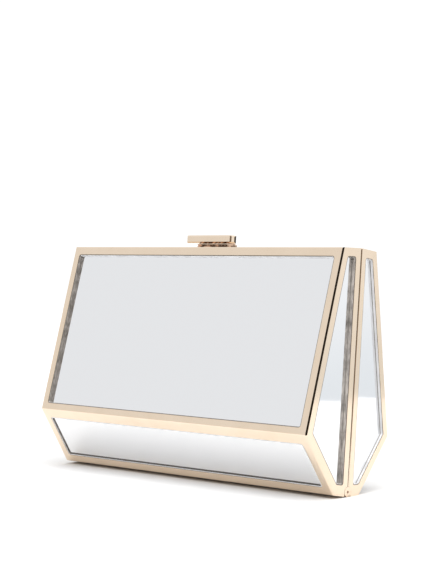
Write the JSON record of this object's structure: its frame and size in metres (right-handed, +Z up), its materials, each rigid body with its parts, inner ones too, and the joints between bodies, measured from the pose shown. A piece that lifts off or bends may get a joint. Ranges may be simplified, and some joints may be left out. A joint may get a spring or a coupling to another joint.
{
  "type": "mirrored box clutch",
  "caption": "Hard-shell evening box bag: two gold-framed halves with mirror panels, hinged along the bottom and shut by a sliding bar clasp.",
  "frame": {"origin": "on the table, at the middle of the standing box's length and depth", "axes": "+X along the box to its right end, +Y from the front half to the rear half, +Z up; the box leans back 5 degrees towards +Y"},
  "size_m": [0.174, 0.0577, 0.1146],
  "materials": {
    "gold_metal": "polished pale gold plating",
    "mirror_panel": "acrylic mirror sheet",
    "tray_plastic": "moulded, matt",
    "suede_lining": "soft microsuede",
    "steel": "fine brushed"
  },
  "bodies": {
    "rear_half": {"rear_frame": "gold_metal", "rear_upper_mirror": "mirror_panel", "rear_lower_mirror": "mirror_panel", "rear_left_mirror": "mirror_panel", "rear_right_mirror": "mirror_panel", "rear_tray": "tray_plastic", "rear_lining": "suede_lining", "rear_hinge_knuckles": "gold_metal", "hinge_pin": "steel", "clasp_base": "gold_metal", "clasp_base_screws": "steel", "rear_clasp_cover": "gold_metal", "detent_spring": "steel"},
    "front_half": {"front_frame": "gold_metal", "front_upper_mirror": "mirror_panel", "front_lower_mirror": "mirror_panel", "front_left_mirror": "mirror_panel", "front_right_mirror": "mirror_panel", "front_tray": "tray_plastic", "front_lining": "suede_lining", "front_hinge_knuckles": "gold_metal", "strike_studs": "steel", "front_clasp_cover": "gold_metal"},
    "clasp": {"clasp_bar": "gold_metal", "clasp_hook_plate": "steel", "clasp_hook_rivets": "steel"}
  },
  "joints": [
    {"name": "front_hinge", "type": "hinge", "parent": "rear_half", "child": "front_half", "pos_m": [0, -0.00212, 0.0022], "axis": [1, 0, 0], "range_deg": [0, 90]},
    {"name": "clasp_slide", "type": "slide", "parent": "rear_half", "child": "clasp", "axis": [1, 0, 0], "range_m": [0, 0.0073], "deforming": ["detent_spring"]}
  ]
}
